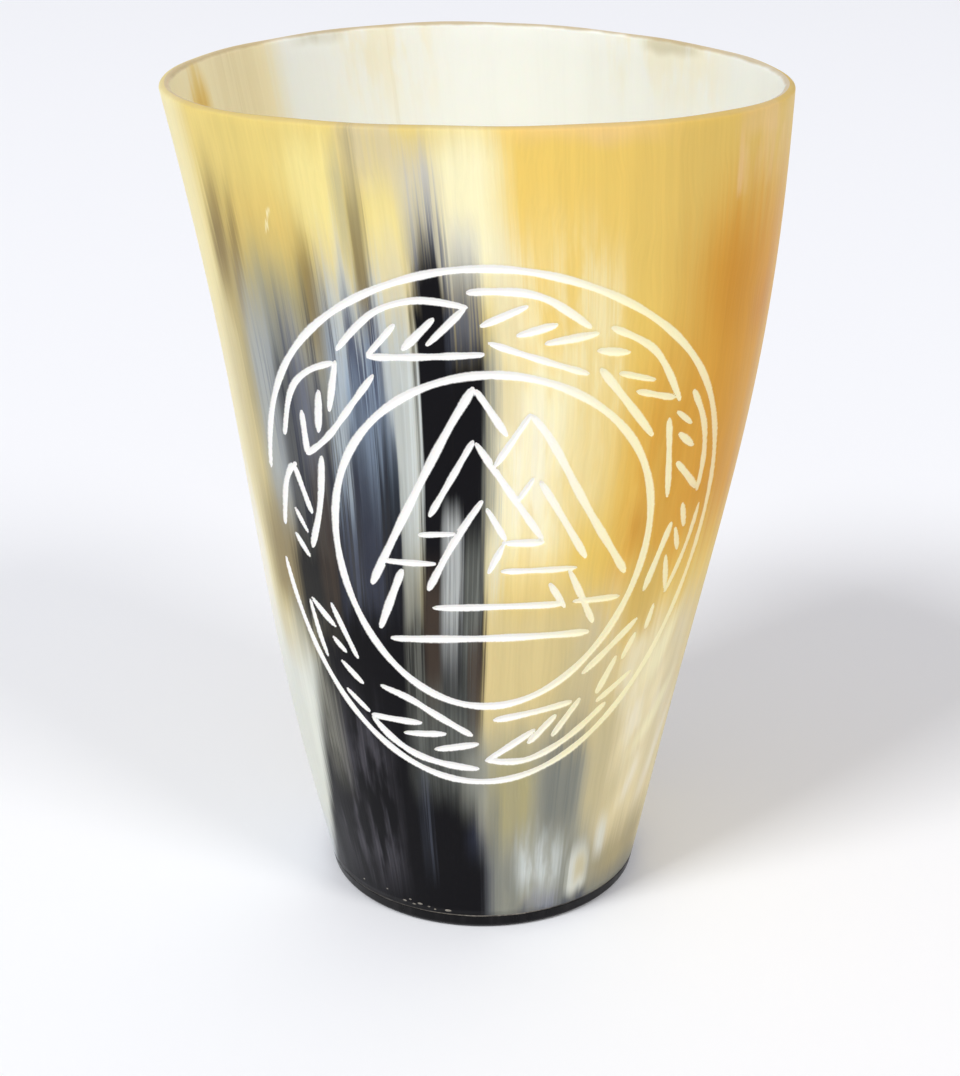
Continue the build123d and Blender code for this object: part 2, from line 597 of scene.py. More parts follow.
def new_material(name):
    """A material, the tree of its nodes and its shader."""
    material = bpy.data.materials.new(name)
    material.use_nodes = True
    tree = material.node_tree
    return material, tree, tree.nodes["Principled BSDF"]


def fill(tree, node, values):
    """Sets each named input of a node to a value, or links it to a socket."""
    for key, value in values.items():
        if isinstance(value, bpy.types.NodeSocket):
            tree.links.new(value, node.inputs[key])
        else:
            node.inputs[key].default_value = value


def add(tree, kind, values=None, **settings):
    """A node with its settings and its inputs."""
    node = tree.nodes.new(kind)
    for name, setting in settings.items():
        setattr(node, name, setting)
    fill(tree, node, values or {})
    return node


def calc(tree, operation, *values):
    return add(tree, "ShaderNodeMath", dict(enumerate(values)), operation=operation).outputs[0]


def rise(tree, value, start, end, low=0.0, high=1.0):
    """A smooth step of a value, from low at start to high at end."""
    inputs = {"Value": value, "From Min": start, "From Max": end, "To Min": low, "To Max": high}
    return add(tree, "ShaderNodeMapRange", inputs, interpolation_type="SMOOTHSTEP").outputs[0]


def mix(tree, factor, under, over):
    node = add(tree, "ShaderNodeMix", {0: factor, 6: under, 7: over}, data_type="RGBA")
    return node.outputs[2]


def noise(tree, where, scale, detail, roughness):
    """Noise from 0 to 1, with its own scale along X, Y and Z."""
    stretched = add(tree, "ShaderNodeVectorMath", {0: where, 1: scale}, operation="MULTIPLY").outputs[0]
    inputs = {"Vector": stretched, "Scale": 1.0, "Detail": detail, "Roughness": roughness}
    return add(tree, "ShaderNodeTexNoise", inputs).outputs[0]


def centred(tree, value):
    """A value from 0 to 1, moved to lie around 0."""
    return calc(tree, "SUBTRACT", value, 0.5)


def scaled(tree, vector, factor):
    """A colour or another vector times a factor."""
    return add(tree, "ShaderNodeVectorMath", {0: vector, "Scale": factor}, operation="SCALE").outputs[0]


# A streak of colour in the horn: its tone, the angles of its left and right, the heights of its ends, the
# blur of its sides and its strength. Then, by name: the blur of its tip and its foot, the share by which it
# narrows to a point, how ragged its ends are along the fibres, its lean in degrees per millimetre, and how
# far threads and clouds thin it out.
Streak = namedtuple(
    "Streak",
    "tone left right low high side strength tip foot point ragged lean threads clouds",
    defaults=(1, 6, 6, 0.3, 2, 0, 0, 0),
)
STREAK_FIELDS = ("Angle", "Height", "Fibres", "Threads", "Clouds")
STREAK_SHAPE = (
    "Slant", "Middle", "Tip half", "Point", "Side", "Low out", "Low in", "High in", "High out",
    "Ragged", "Thready", "Cloudy", "Strength",
)


def streak_group():
    """A group that says how much of a streak shows at a place."""
    group = bpy.data.node_groups.new("streak", "ShaderNodeTree")
    for name in STREAK_FIELDS + STREAK_SHAPE:
        group.interface.new_socket(name, in_out="INPUT", socket_type="NodeSocketFloat")
    group.interface.new_socket("Mask", in_out="OUTPUT", socket_type="NodeSocketFloat")
    given = add(group, "NodeGroupInput").outputs
    torn = calc(group, "MULTIPLY_ADD", given["Fibres"], given["Ragged"], given["Height"])
    top = rise(group, torn, given["High in"], given["High out"], 1.0, 0.0)
    foot = rise(group, torn, given["Low out"], given["Low in"])
    half = calc(group, "MULTIPLY_ADD", top, given["Point"], given["Tip half"])
    slanted = calc(group, "MULTIPLY_ADD", given["Height"], given["Slant"], given["Angle"])
    away = calc(group, "ABSOLUTE", calc(group, "SUBTRACT", slanted, given["Middle"]))
    beyond = calc(group, "DIVIDE", calc(group, "SUBTRACT", away, half), given["Side"])
    mask = rise(group, beyond, -1.0, 1.0, 1.0, 0.0)
    mask = calc(group, "MULTIPLY", calc(group, "MULTIPLY", mask, top), foot)
    for amount, field in (("Thready", "Threads"), ("Cloudy", "Clouds")):
        thinned = calc(group, "MULTIPLY", given[amount], given[field])
        mask = calc(group, "MULTIPLY", mask, calc(group, "SUBTRACT", 1.0, thinned))
    add(group, "NodeGroupOutput", {"Mask": calc(group, "MULTIPLY", mask, given["Strength"])})
    return group


def lay_streaks(tree, ground, streaks, fields):
    """The ground colour with each streak laid over it in turn."""
    for streak in streaks:
        half = (streak.right - streak.left) / 2
        middle_height = (streak.low + streak.high) / 2
        shape = {
            "Slant": -streak.lean,
            "Middle": (streak.left + streak.right) / 2 - streak.lean * middle_height,
            "Tip half": half * (1 - streak.point),
            "Point": half * streak.point,
            "Side": streak.side,
            "Low out": streak.low - streak.foot,
            "Low in": streak.low + streak.foot,
            "High in": streak.high - streak.tip,
            "High out": streak.high + streak.tip,
            "Ragged": streak.ragged,
            "Thready": streak.threads,
            "Cloudy": streak.clouds,
            "Strength": streak.strength,
        }
        mask = add(tree, "ShaderNodeGroup", {**fields, **shape}, node_tree=STREAK_GROUP).outputs[0]
        ground = mix(tree, mask, ground, colour(*streak.tone))
    return ground


STREAK_GROUP = streak_group()

# Tones of the horn
MILK = (250, 247, 236)
CREAM = (249, 242, 198)
BUTTER = (240, 227, 182)
STRAW = (240, 228, 178)
IVORY = (221, 223, 211)
LEMON = (246, 230, 153)
GOLD = (228, 205, 122)
HONEY = (237, 203, 106)
OCHRE = (214, 180, 98)
AMBER = (218, 157, 54)
RUST = (200, 134, 40)
SIENNA = (196, 130, 72)
TAN = (217, 198, 141)
PEACH = (238, 202, 150)
ROSE = (226, 211, 166)
FAWN = (212, 199, 164)
KHAKI = (202, 189, 146)
OLIVE = (176, 166, 118)
SAND = (150, 138, 101)
BROWN = (126, 106, 66)
EARTH = (142, 127, 90)
UMBER = (76, 64, 54)
PEARL = (211, 217, 213)
FROST = (186, 189, 186)
COOL = (184, 188, 198)
HAZE = (174, 179, 178)
STONE = (158, 157, 141)
SMOKE = (148, 149, 138)
ASH = (124, 127, 120)
BLUE = (158, 176, 195)
STEEL = (90, 95, 108)
SLATE = (64, 69, 88)
CHARCOAL = (78, 76, 82)
INK = (45, 47, 58)
SOOT = (18, 17, 21)
BLACK = (12, 11, 15)

GROUND_STREAKS = [
    # The pale left edge: the horn's pale tone, whiter in the middle with painted rim light, and painted
    # bluish shade at the foot
    Streak(STRAW, -134, -104, -20, 140, 16, threads=0.4),
    Streak(STRAW, -112, -62, -20, 140, 5),
    Streak(IVORY, -132, -42, -20, 47, 8, tip=9),
    Streak(KHAKI, -66, -50, 52, 96, 4, 0.75, tip=8, foot=8),
    # Whiter in the middle: painted rim light
    Streak(MILK, -118, -67, 40, 68, 3, 0.7, tip=14, foot=14, ragged=5),
    Streak(LEMON, -110, -63, 88, 140, 5, 0.5, foot=9, ragged=4),
    Streak(KHAKI, -65, -53, 42, 53, 3, 0.55, clouds=0.4),
    # The bluish foot: painted shade
    Streak(COOL, -124, -55, -20, 9, 5, 0.7, tip=7),
    # Gold patches of the upper left
    Streak(LEMON, -36, -26, 104, 119, 4, 0.85, tip=5, foot=5),
    Streak(LEMON, -22, -11, 103, 117, 3, 0.7, tip=5, foot=5),
    # Honey to the right, and amber beyond it: the horn's tones, with painted glow of light through the wall
    # in the amber
    Streak(HONEY, 4, 75, 28, 140, 5, foot=8),
    Streak(OCHRE, 30, 96, 96, 125, 14, 0.5, foot=9),
    Streak(AMBER, 42, 75, 59.5, 109, 11, tip=10, foot=9, ragged=6),
    Streak(AMBER, 30, 48, 57.5, 90, 7, 0.75, tip=10, foot=5, clouds=0.3),
    Streak(OCHRE, 62, 80, 68, 87, 7, 0.2, tip=8, foot=8, ragged=5),
    Streak(RUST, 46, 58, 92, 105, 6, 0.4),
    Streak(RUST, 33, 36.4, 62, 68, 2.4, 0.5, tip=3, foot=3),
    Streak(SIENNA, 60, 68, 90, 97, 4, 0.35, tip=4, foot=4),
    # Tan, stone, fawn and rose below the honey, with pale flecks
    Streak(TAN, -4, 30, 26, 57, 3, tip=7),
    Streak(KHAKI, -4, 24, 24, 37, 4, 0.8, tip=5),
    Streak(STONE, -6, 42, -20, 32, 4),
    Streak(FAWN, 25, 36, 33, 57, 4, 0.75, clouds=0.4),
    Streak(ROSE, 37, 68, -20, 50, 6, tip=8),
    Streak(ROSE, 62, 84, -20, 46, 14, tip=14, ragged=8),
    Streak(BUTTER, 38, 53, 35, 50, 5, 0.85, tip=5, foot=7, clouds=0.3),
    Streak(BUTTER, 44, 58, 20, 36, 5, 0.6, tip=5, clouds=0.7),
    Streak(MILK, 40, 62, 26, 46, 6, 0.35, tip=8, foot=7, clouds=0.9),
    Streak(FAWN, 54, 68, 24, 44, 6, 0.3, tip=7, foot=7, ragged=4, threads=0.3, clouds=0.5),
    Streak(BUTTER, 44, 48, 35, 41, 2, 0.5, tip=3, foot=3, lean=0.6),
    Streak(BUTTER, 51, 56, 33, 42, 2.5, 0.7, tip=4, foot=4, lean=0.6),
    Streak(CREAM, 49, 54, 40, 50, 2, 0.7, tip=3, foot=3, lean=0.6),
    Streak(BUTTER, 42, 45, 26, 31, 1.6, 0.4, tip=3, foot=3, lean=0.6),
    Streak(KHAKI, 41, 46.5, 17, 25, 2.5, 0.6, tip=4, foot=4, lean=0.5),
    Streak(CREAM, 50, 54, 27, 33, 1.8, 0.6, tip=3, foot=3, lean=0.8),
    Streak(CREAM, 55, 59.5, 29, 36, 1.8, 0.65, tip=3, foot=3, lean=0.9),
    Streak(MILK, 49.5, 53, 18, 24, 1.8, 0.4, tip=3, foot=3, lean=0.6),
    Streak(MILK, 61, 66, 17, 31, 2.5, 0.4, tip=5, foot=5, lean=0.6),
    Streak(OCHRE, 36, 45, 48.5, 60, 4, 0.8, tip=4, foot=3),
    # The glow around the middle
    Streak(CREAM, -9, 4, 99, 119, 4.5, 0.95, tip=5, foot=5),
    Streak(CREAM, 0, 18, 61, 92, 4.5, 0.85, tip=8, foot=7, clouds=0.3),
    Streak(CREAM, 18, 27, 68, 98, 4, 0.45, tip=8, clouds=0.3),
    Streak(MILK, 2, 13, 66, 88, 4, 0.4, tip=7, foot=7, threads=0.5, clouds=0.6),
    Streak(IVORY, 1, 8, 92, 106, 2.5, 0.35, tip=5, foot=4),
    Streak(CREAM, 3, 27, 84, 106, 4, 0.5, tip=8, threads=0.4, clouds=0.8),
]

SMOKE_STREAKS = [
    # Brown smudges and an olive shadow at the upper left
    Streak(BROWN, -60, -54.5, 95, 111, 2.2, 0.9, tip=8, lean=0.2),
    Streak(SAND, -57, -50, 92, 103, 3, 0.6, tip=5, foot=5),
    Streak(OCHRE, -54, -34, 92, 110, 5, 0.5, tip=5, clouds=0.3),
    Streak(OLIVE, -53, -33, 89, 102, 5, 0.85),
    Streak(BROWN, -54, -51, 92, 110, 1.6, 0.7, foot=5, lean=0.2),
    # Smoke under the whole dark zone, with haze along its left
    Streak(SMOKE, -56, -14, 44, 95, 4, 0.95, tip=9, foot=8, ragged=5),
    Streak(HAZE, -55, -46, 63, 95, 3.5, 0.85, tip=8, foot=7, ragged=4, threads=0.2),
    Streak(SAND, -59, -55.4, 76, 95, 1.5, 0.45, foot=8, ragged=4),
    Streak(ASH, -47.4, -43.4, 80, 96, 1.5, 0.6, foot=5, ragged=5, threads=0.3),
    Streak(STEEL, -54, -48, 72, 92, 2, 0.4, foot=7, ragged=6, threads=1),
    Streak(EARTH, -62, -47, 50, 66, 4, 0.9, tip=7, foot=4),
    # The dark band under the plait
    Streak(INK, -48.5, -34, 60, 88, 2, 0.95, ragged=8, threads=0.2),
    Streak(COOL, -43, -36, 74, 94, 2, 0.32, foot=7, threads=0.5),
    Streak(SOOT, -50.4, -34, 46, 64, 2.3, 0.95, ragged=7),
    Streak(UMBER, -42, -36.5, 50, 74, 1.5, 0.6, ragged=5, threads=0.3),
    Streak(BROWN, -37, -33.5, 91, 106, 1.5, 0.7),
    # Blue-grey fibres with pale tips
    Streak(BLUE, -33, -20.5, 70, 97, 1.5, 0.95, tip=9, ragged=8),
    Streak(PEARL, -32.5, -25.5, 91, 104, 2, 0.8, tip=7, foot=7, ragged=6, threads=0.4),
    Streak(SLATE, -33, -20.5, 62, 97, 1.5, 0.95, tip=8, ragged=9, threads=0.9),
    Streak(PEARL, -31.6, -29.6, 78, 98, 0.8, 0.55, threads=0.3),
    Streak(SAND, -25.2, -22, 96, 112, 1.2, 0.8, foot=5),
    Streak(BROWN, -24.6, -23, 97, 107, 1, 0.6, tip=5, foot=5),
    Streak(FAWN, -25, -13.5, 112, 121, 2.5, 0.75, tip=2, foot=5, threads=0.2),
    Streak(SAND, -24.2, -22.4, 104, 121, 0.9, 0.5, tip=3, threads=0.3),
    Streak(STONE, -27.8, -25.4, 102, 117, 1, 0.5, tip=5, threads=0.4),
    # Darker and paler fibres between the blue ones
    Streak(STEEL, -45, -40, 76, 97, 1.5, 0.5, threads=0.6),
    Streak(SOOT, -39.6, -36, 78, 98, 0.8, 0.6, tip=7, foot=7, threads=0.7),
    Streak(STEEL, -35, -31, 88, 100, 1, 0.75, foot=5, threads=0.6),
    Streak(SLATE, -25, -20.5, 81, 98, 1, 0.8, threads=0.5),
    Streak(IVORY, -20, -15.5, 95, 106, 1.5, 0.4, tip=5, foot=4),
    # The pale streak left of the wedge
    Streak(PEARL, -22.2, -19.4, 78, 103, 0.9, 0.75, tip=7, threads=0.4),
    Streak(PEARL, -20, -13, 63, 95, 0.7, 0.95, tip=9, foot=8, threads=0.25),
    Streak(SMOKE, -20.6, -18.6, 56, 90, 0.6, 0.4, tip=8, foot=8, threads=0.6),
]

DARK_STREAKS = [
    # The blue-black core inside the ring
    Streak(INK, -36.5, -20, 40, 81, 1.2, tip=9, ragged=11, threads=0.1),
    Streak(BLUE, -35, -21, 66, 86, 2, 0.55, tip=8, foot=8, ragged=8, threads=1, clouds=0.4),
    Streak(STEEL, -34, -22, 50, 68, 2, 0.6, foot=7, ragged=8, threads=1, clouds=0.5),
    Streak(INK, -30.4, -25.4, 54, 77, 1, 0.75, tip=7, ragged=6, threads=0.2),
    Streak(PEARL, -34.6, -30.6, 71, 88, 1, 0.45, foot=7, ragged=6, threads=0.5),
    Streak(BLACK, -25, -20.4, 46, 79, 1.0, 0.85, tip=8, ragged=9, threads=0.35),
    # The black lower half, which spreads to the left towards the base
    Streak(SOOT, -56, -24, -10, 50, 3, tip=5, ragged=4, lean=0.38),
    Streak(SOOT, -69, -34, -10, 18, 4, tip=4, ragged=0, lean=1.0),
    Streak(BLACK, -37, -1.0, -20, 53, 1.6, ragged=4),
    Streak(SLATE, -4, 4.6, -20, 19, 2.6, 0.75, tip=5, ragged=1),
    Streak(BLACK, -20, 1.8, -20, 16, 2.6, ragged=1),
    # The wedge beside the middle, with a blue-grey halo
    Streak(COOL, -14.5, -7.5, 97, 118, 2.2, 0.7, tip=4, foot=5, threads=0.35),
    Streak(COOL, -7, -1, 98, 108, 2, 0.5, tip=4, foot=4),
    Streak(STEEL, -14, -7.6, 96, 110, 1.5, 0.85, foot=5, ragged=4, threads=0.5),
    Streak(BLACK, -13.6, -8.8, 90, 106, 0.9, foot=4, point=0.8, ragged=4),
    Streak(BLACK, -15.1, -7.6, 40, 99, 0.8, tip=4, point=0.2, ragged=3),
    Streak(STEEL, -8.4, -0.8, 88, 101, 1.2, 0.95, foot=3, threads=0.25),
    Streak(BLACK, -9, -0.2, 40, 92, 1.1, tip=4),
    Streak(IVORY, -0.5, 3, 56, 92, 1.6, 0.6, threads=0.3),
    Streak(TAN, 0.6, 6.4, 80, 90, 1.8, 0.5, tip=3, foot=3),
    Streak(ASH, -0.7, 1.8, 66, 93, 1.3, 0.7, tip=5, foot=5, threads=0.3),
    # Grey and brown threads in the black
    Streak(SMOKE, -20.5, -15.5, 37, 59, 0.9, 0.4, tip=5, threads=0.7),
    Streak(UMBER, -15, -11, 38, 60, 1.0, 0.7, tip=5),
    Streak(FROST, -10.8, -6.4, 48, 69, 1.0, 0.9, tip=3, foot=10, threads=0.35),
    Streak(ASH, -5.5, -1.5, 44, 65, 1.0, 0.75, tip=5, foot=8, threads=0.35),
    Streak(UMBER, -3.8, -0.6, 33, 50, 0.9, 0.75, tip=5, foot=5),
    Streak(CHARCOAL, -52, -28, 7, 36, 5, 0.9, tip=8, threads=0.4, clouds=1),
    Streak(STONE, -51, -43, 24, 42, 3, 0.6, threads=0.4, clouds=0.4),
    Streak(ASH, -20, -1, 25, 40, 3, 0.62, foot=5, threads=0.3, clouds=0.3),
    Streak(STEEL, -19.2, -15.6, 10, 28, 1.2, 0.4, tip=4, foot=5, threads=0.7),
]

MOTTLE_STREAKS = [
    # The grey and olive mottling of the lower right
    Streak(SMOKE, -5.2, 1.8, 22, 33, 2.4, 0.75, tip=4, foot=5, ragged=1),
    Streak(OLIVE, 3, 16, 16, 32, 4, 0.9, clouds=0.2),
    Streak(ASH, 2.4, 6, 12, 25, 1.8, 0.6, tip=5, foot=4),
    Streak(KHAKI, 20, 36, 31, 48, 4, 0.65, foot=5, clouds=0.3),
    Streak(ASH, 18, 30, 16, 35.5, 4.5, 0.95, tip=7, threads=0.25),
    Streak(KHAKI, 32, 41, 17, 38, 3, 0.9, foot=5),
    Streak(ASH, 3.4, 13, -6, 13, 3, 0.6, tip=5, clouds=0.4),
    Streak(ASH, 26, 48, -10, 12, 4, 0.6, tip=5, ragged=1),
    Streak(PEARL, 12, 27, 7, 16, 3, 0.95, tip=4, foot=3, ragged=3, threads=0.2, clouds=0.75),
    Streak(SAND, 43, 72, -10, 13, 8, 0.75, tip=5, ragged=3),
    # These two darken the foot towards the base: partly grime, partly painted contact shade
    Streak(ASH, 34, 82, -10, 5, 8, 0.75, tip=3, ragged=1.2),
    Streak(SLATE, 13, 40, -10, 4.4, 3, 0.8, tip=2.2, ragged=1, clouds=0.5),
    Streak(COOL, 16, 27, 2, 6.5, 3, 0.5, tip=2, foot=1.5, threads=0.3, clouds=0.4),
    Streak(IVORY, 30.4, 38, 4.6, 12, 1.8, 0.95, tip=3.5, foot=1.4, point=0.5, ragged=0.6),
    Streak(KHAKI, 33, 37.4, 6.2, 10.4, 1.6, 0.75, tip=2, foot=1.6, ragged=0.6),
    Streak(IVORY, 40.4, 44.4, 10, 16.5, 1.6, 0.8, tip=2.5, foot=2.5, ragged=0.6),
    # A peach band under the rim, which is a painted highlight along it, a pale peach patch, and a scratch
    Streak(PEACH, 8, 32, 117.6, 121, 8, 0.45, tip=1, foot=1.4, ragged=0.4),
    Streak(PEACH, 51, 66, 109.5, 117, 2, 0.35, tip=1, foot=1.5, ragged=1, clouds=0.9),
    Streak(PEACH, 50.5, 63, 116.4, 121, 2, 0.45, tip=0.8, foot=1.2, ragged=1, clouds=0.3),
    Streak(PEACH, 50.2, 51.8, 108.6, 117, 0.8, 0.5, tip=2, foot=1, ragged=1, clouds=0.6),
    Streak(CREAM, -42.2, -41.8, 104.8, 107.8, 0.3, 0.7, tip=0.5, foot=0.5, ragged=0, lean=0.6),
]

BACK_STREAKS = [
    # The side that the front hides: a smaller dark core, with smoke and brown around it
    Streak(AMBER, 76, 84, 68, 116, 8, 0.6, tip=14, foot=12, ragged=9, threads=0.3),
    Streak(AMBER, 88, 98, 48, 92, 8, 0.5, tip=16, foot=14, ragged=9, threads=0.4),
    Streak(OCHRE, 96, 116, 52, 112, 8, 0.7, tip=16, foot=14, ragged=9, threads=0.4),
    Streak(ROSE, 90, 112, -10, 44, 7, 0.7, tip=14, ragged=9, threads=0.3),
    Streak(STONE, 88, 108, -10, 8, 7, 0.7, tip=7, ragged=6, threads=0.3),
    Streak(BROWN, 92, 93.4, 20, 58, 0.9, 0.4, tip=10, foot=8),
    Streak(HONEY, 118, 166, 20, 140, 9, foot=8),
    Streak(TAN, 164, 172, 50, 112, 5, 0.6, tip=14, foot=14, ragged=9, threads=0.3),
    Streak(STRAW, -173, -165, 56, 124, 5, 0.6, tip=8, foot=16, ragged=9, threads=0.4),
    Streak(OCHRE, -156, -142, 64, 118, 5, 0.5, tip=10, foot=14, ragged=9, threads=0.4),
    Streak(BROWN, 174, 175.2, 66, 108, 0.8, 0.4, tip=10, foot=10),
    Streak(BROWN, -143, -141.6, 60, 100, 0.8, 0.4, tip=10, foot=10),
    Streak(IVORY, -141, -136, 2, 44, 3, 0.6, tip=12, foot=10, ragged=9, threads=0.5),
    Streak(TAN, -128, -122, 6, 58, 4, 0.5, tip=12, foot=12, ragged=9, threads=0.5),
    Streak(TAN, -112, -104, 0, 40, 4, 0.35, tip=12, foot=8, ragged=9, threads=0.5),
    Streak(SMOKE, 133, 166, -10, 66, 4, 0.7, tip=10, ragged=5, threads=0.4),
    Streak(INK, 138, 162, -10, 57, 2.5, tip=9, point=0.5, ragged=9),
    Streak(BLACK, 142, 159, -10, 46, 2, tip=8, point=0.4, ragged=9),
    Streak(PEARL, 137, 164, 24, 68, 2.5, 0.5, tip=10, foot=9, ragged=8, threads=1),
    Streak(BROWN, 147, 150, 52, 80, 1, 0.5),
    Streak(BROWN, 155, 156.5, 55, 90, 0.8, 0.45),
    Streak(CREAM, 126, 135, 30, 104, 4, 0.55, tip=9, foot=9, threads=0.4),
    Streak(SMOKE, -170, -146, -10, 40, 4, 0.7, tip=9, ragged=5, threads=0.4),
    Streak(STEEL, -164, -152, -10, 26, 3, 0.8, tip=7, ragged=5, threads=0.3),
    Streak(UMBER, -150, -146.5, -10, 52, 1.2, 0.7, tip=9),
    Streak(BROWN, -161, -158, 22, 62, 1.2, 0.55, tip=8),
    Streak(AMBER, -132, -120, 58, 104, 9, 0.4, tip=18, foot=18, ragged=9, threads=0.5),
    Streak(CREAM, -102, -92, 30, 112, 4, 0.5, tip=9, foot=9, threads=0.5),
]

OUTSIDE_STREAKS = GROUND_STREAKS + BACK_STREAKS + SMOKE_STREAKS + DARK_STREAKS + MOTTLE_STREAKS

BEIGE = (253, 237, 190)
# Near white: the scraped inside's pale tone, lifted to paint the glow of light through the wall
RAW_WITH_GLOW = (253, 255, 247)

INSIDE_STREAKS = [
    # Beige along the left
    Streak(BEIGE, -130, -66, 92, 140, 5, 0.9, foot=12),
    Streak(BEIGE, -96, -28, 92, 140, 14, 0.9, foot=12),
    Streak(BEIGE, -118, -20, 10, 100, 12, 0.7, tip=14, foot=20),
    Streak(TAN, -124, -108, 60, 140, 6, 0.3, threads=0.5),
    # A honey spike at the left, under the lip
    Streak(HONEY, -99.8, -96.4, 94, 123, 2, 0.55, tip=4, foot=8, ragged=1),
    Streak(HONEY, -103, -94, 94, 118.5, 2.4, 0.8, tip=4, foot=8, point=0.8, ragged=1),
    Streak(AMBER, -101, -96, 94, 116.5, 2, 0.4, tip=3, foot=8, point=0.7, ragged=1),
    # A hairline and faint stains on the far side
    Streak(KHAKI, -161, -160.4, 98, 140, 0.5, 0.16, foot=10),
    Streak(BEIGE, -170, -148, 109, 140, 7, 0.5, foot=8, clouds=0.8),
    Streak(BEIGE, 112, 148, 112, 140, 9, 0.4, clouds=0.9),
    # The colours of the outside, faint in the depth of the cup
    Streak(HONEY, 30, 112, -10, 80, 12, 0.35, tip=16),
    Streak(SMOKE, -60, 2, -10, 80, 6, 0.5, tip=14, threads=0.3),
    Streak(CHARCOAL, -46, -3, -10, 54, 5, 0.55, tip=14, ragged=8, threads=0.3),
    Streak(SMOKE, 138, 162, -10, 50, 5, 0.6, tip=14, ragged=6, threads=0.4),
    # Olive rubs under the lip
    Streak(OLIVE, -149, -137, 118.4, 121, 4, 0.4, tip=0.4, foot=0.8, ragged=0, clouds=0.4),
    Streak(OLIVE, 121, 137, 118.4, 121, 4, 0.4, tip=0.4, foot=0.8, ragged=0, clouds=0.4),
]


# The grain of the horn: its scales along X, Y and Z of the straight tube, its detail and its roughness
WANDER_GRAIN = ((0.12, 0.12, 0.03), 3, 0.5)
DRIFT_GRAIN = ((0.13, 0.13, 0.06), 2, 0.5)
FIBRE_GRAIN = ((0.8, 0.8, 0.01), 5, 0.6)
STRAND_GRAIN = ((1.8, 1.8, 0.02), 6, 0.62)
BROAD_GRAIN = ((0.3, 0.3, 0.006), 3, 0.5)
HAIR_GRAIN = ((2.6, 2.6, 0.05), 5, 0.6)
CLOUD_GRAIN = ((0.36, 0.36, 0.08), 4, 0.5)
CRUMB_GRAIN = ((2.5, 2.5, 2.5), 2, 0.5)

# How far the grain moves the streaks: around the horn, up it and along its fibres
WANDER_REACH = 2.4
STRAND_REACH = 4.0
DRIFT_REACH = 5.0
FIBRE_REACH = 2.6
HAIR_SWAY = (3.0, 3.0, 0.0)

# Between which values of their noise threads, clouds, shades of the grain and dull patches appear
THREAD_SPAN = (0.45, 0.55)
CLOUD_SPAN = (0.4, 0.62)
SHADE_SPAN = (0.3, 0.7)
ROUGH_SPAN = (0.25, 0.75)

# How much each field of the grain darkens and lightens the horn
GRAIN_SHADES = (("broad", 0.04, 0.03), ("hairs", 0.03, 0.02))
INSIDE_GRAIN = 0.3

# What the horn's shader is given: its shine, the light that goes into it and its relief
HORN_IOR = 1.54
HORN_DEPTH = {
    "IOR": HORN_IOR,
    "Specular IOR Level": 0.08,
    "Subsurface Weight": 0.12,
    "Subsurface Radius": (1.0, 0.6, 0.3),
    "Subsurface Scale": 0.0015,
}
RELIEF = {"Strength": 0.1, "Distance": 0.0002}
OUTSIDE_ROUGH = (0.3, 0.4)
INSIDE_ROUGH = (0.34, 0.46)
MATT_ROUGH = 0.35

# The tan edge of the lip: between which depths it fades, how uneven it is and how much of it shows
LIP_TAN = (186, 164, 120)
LIP_FADE = (0.65, 0.2)
LIP_SWING = 0.4
OUTSIDE_LIP = 0.45
INSIDE_LIP = 0.8

# The chalk in the carving: its crumbly edge, the angles between which it turns warm, and those between which
# it is rubbed off, with the shares that are missing there
CHALK = (252, 251, 246)
WARM_CHALK = (255, 246, 200)
CHALK_EDGE = (-0.16, 0.24)
CRUMB_REACH = 0.25
CHALK_WARMS = (2.0, 34.0)
CHALK_RUBBED = (40.0, 56.0, 0.03, 0.28)

# The black horn of the base
BLACK_GRAIN = ((900, 120, 120), 3, 0.5)
BLACK_TONES = ((9, 8, 10), (30, 28, 29))
BLACK_TONE_SPAN = (0.45, 0.8)
BLACK_ROUGH = (0.2, 0.8, 0.24, 0.4)
BLACK_SHINE = 0.12

# The glue, with grime and painted contact shade between these distances from its bare angle and below its
# bare height
GLUE_GRAIN = ((0.9, 0.9, 0.9), 3, 0.5)
GLUE_TONES = ((84, 78, 72), (146, 140, 128))
GLUE_ROUGH = (0.2, 0.8, 0.3, 0.5)
BARE_ANGLE = 2.0
GRIME_AND_SHADE_SPAN = (14.0, 30.0)
GRIME_AND_SHADE_HEIGHTS = (2.7, 2.3)
GRIME_AND_SHADE_TONE = (44, 40, 38)
GRIME_AND_SHADE_STRENGTH = 0.8


def horn_fields(tree):
    """The places and the grain that the horn's materials share."""
    where = add(tree, "ShaderNodeAttribute", attribute_name="tube_place").outputs["Vector"]
    parts = add(tree, "ShaderNodeSeparateXYZ", {0: where}).outputs
    turn = calc(tree, "ARCTAN2", parts[0], calc(tree, "MULTIPLY", parts[1], -1.0))
    wander = centred(tree, noise(tree, where, *WANDER_GRAIN))
    drift = centred(tree, noise(tree, where, *DRIFT_GRAIN))
    fibres = centred(tree, noise(tree, where, *FIBRE_GRAIN))
    strands = noise(tree, where, *STRAND_GRAIN)
    straight = calc(tree, "MULTIPLY_ADD", wander, WANDER_REACH, calc(tree, "DEGREES", turn))
    sway = scaled(tree, HAIR_SWAY, drift)
    swayed = add(tree, "ShaderNodeVectorMath", {0: where, 1: sway}, operation="ADD").outputs[0]
    return {
        "where": where,
        "broad": noise(tree, where, *BROAD_GRAIN),
        "hairs": noise(tree, swayed, *HAIR_GRAIN),
        "Angle": calc(tree, "MULTIPLY_ADD", centred(tree, strands), STRAND_REACH, straight),
        "Height": calc(tree, "MULTIPLY_ADD", drift, DRIFT_REACH, parts[2]),
        "level": parts[2],
        "Fibres": calc(tree, "MULTIPLY", fibres, FIBRE_REACH),
        "Threads": rise(tree, strands, *THREAD_SPAN),
        "Clouds": rise(tree, noise(tree, where, *CLOUD_GRAIN), *CLOUD_SPAN),
    }


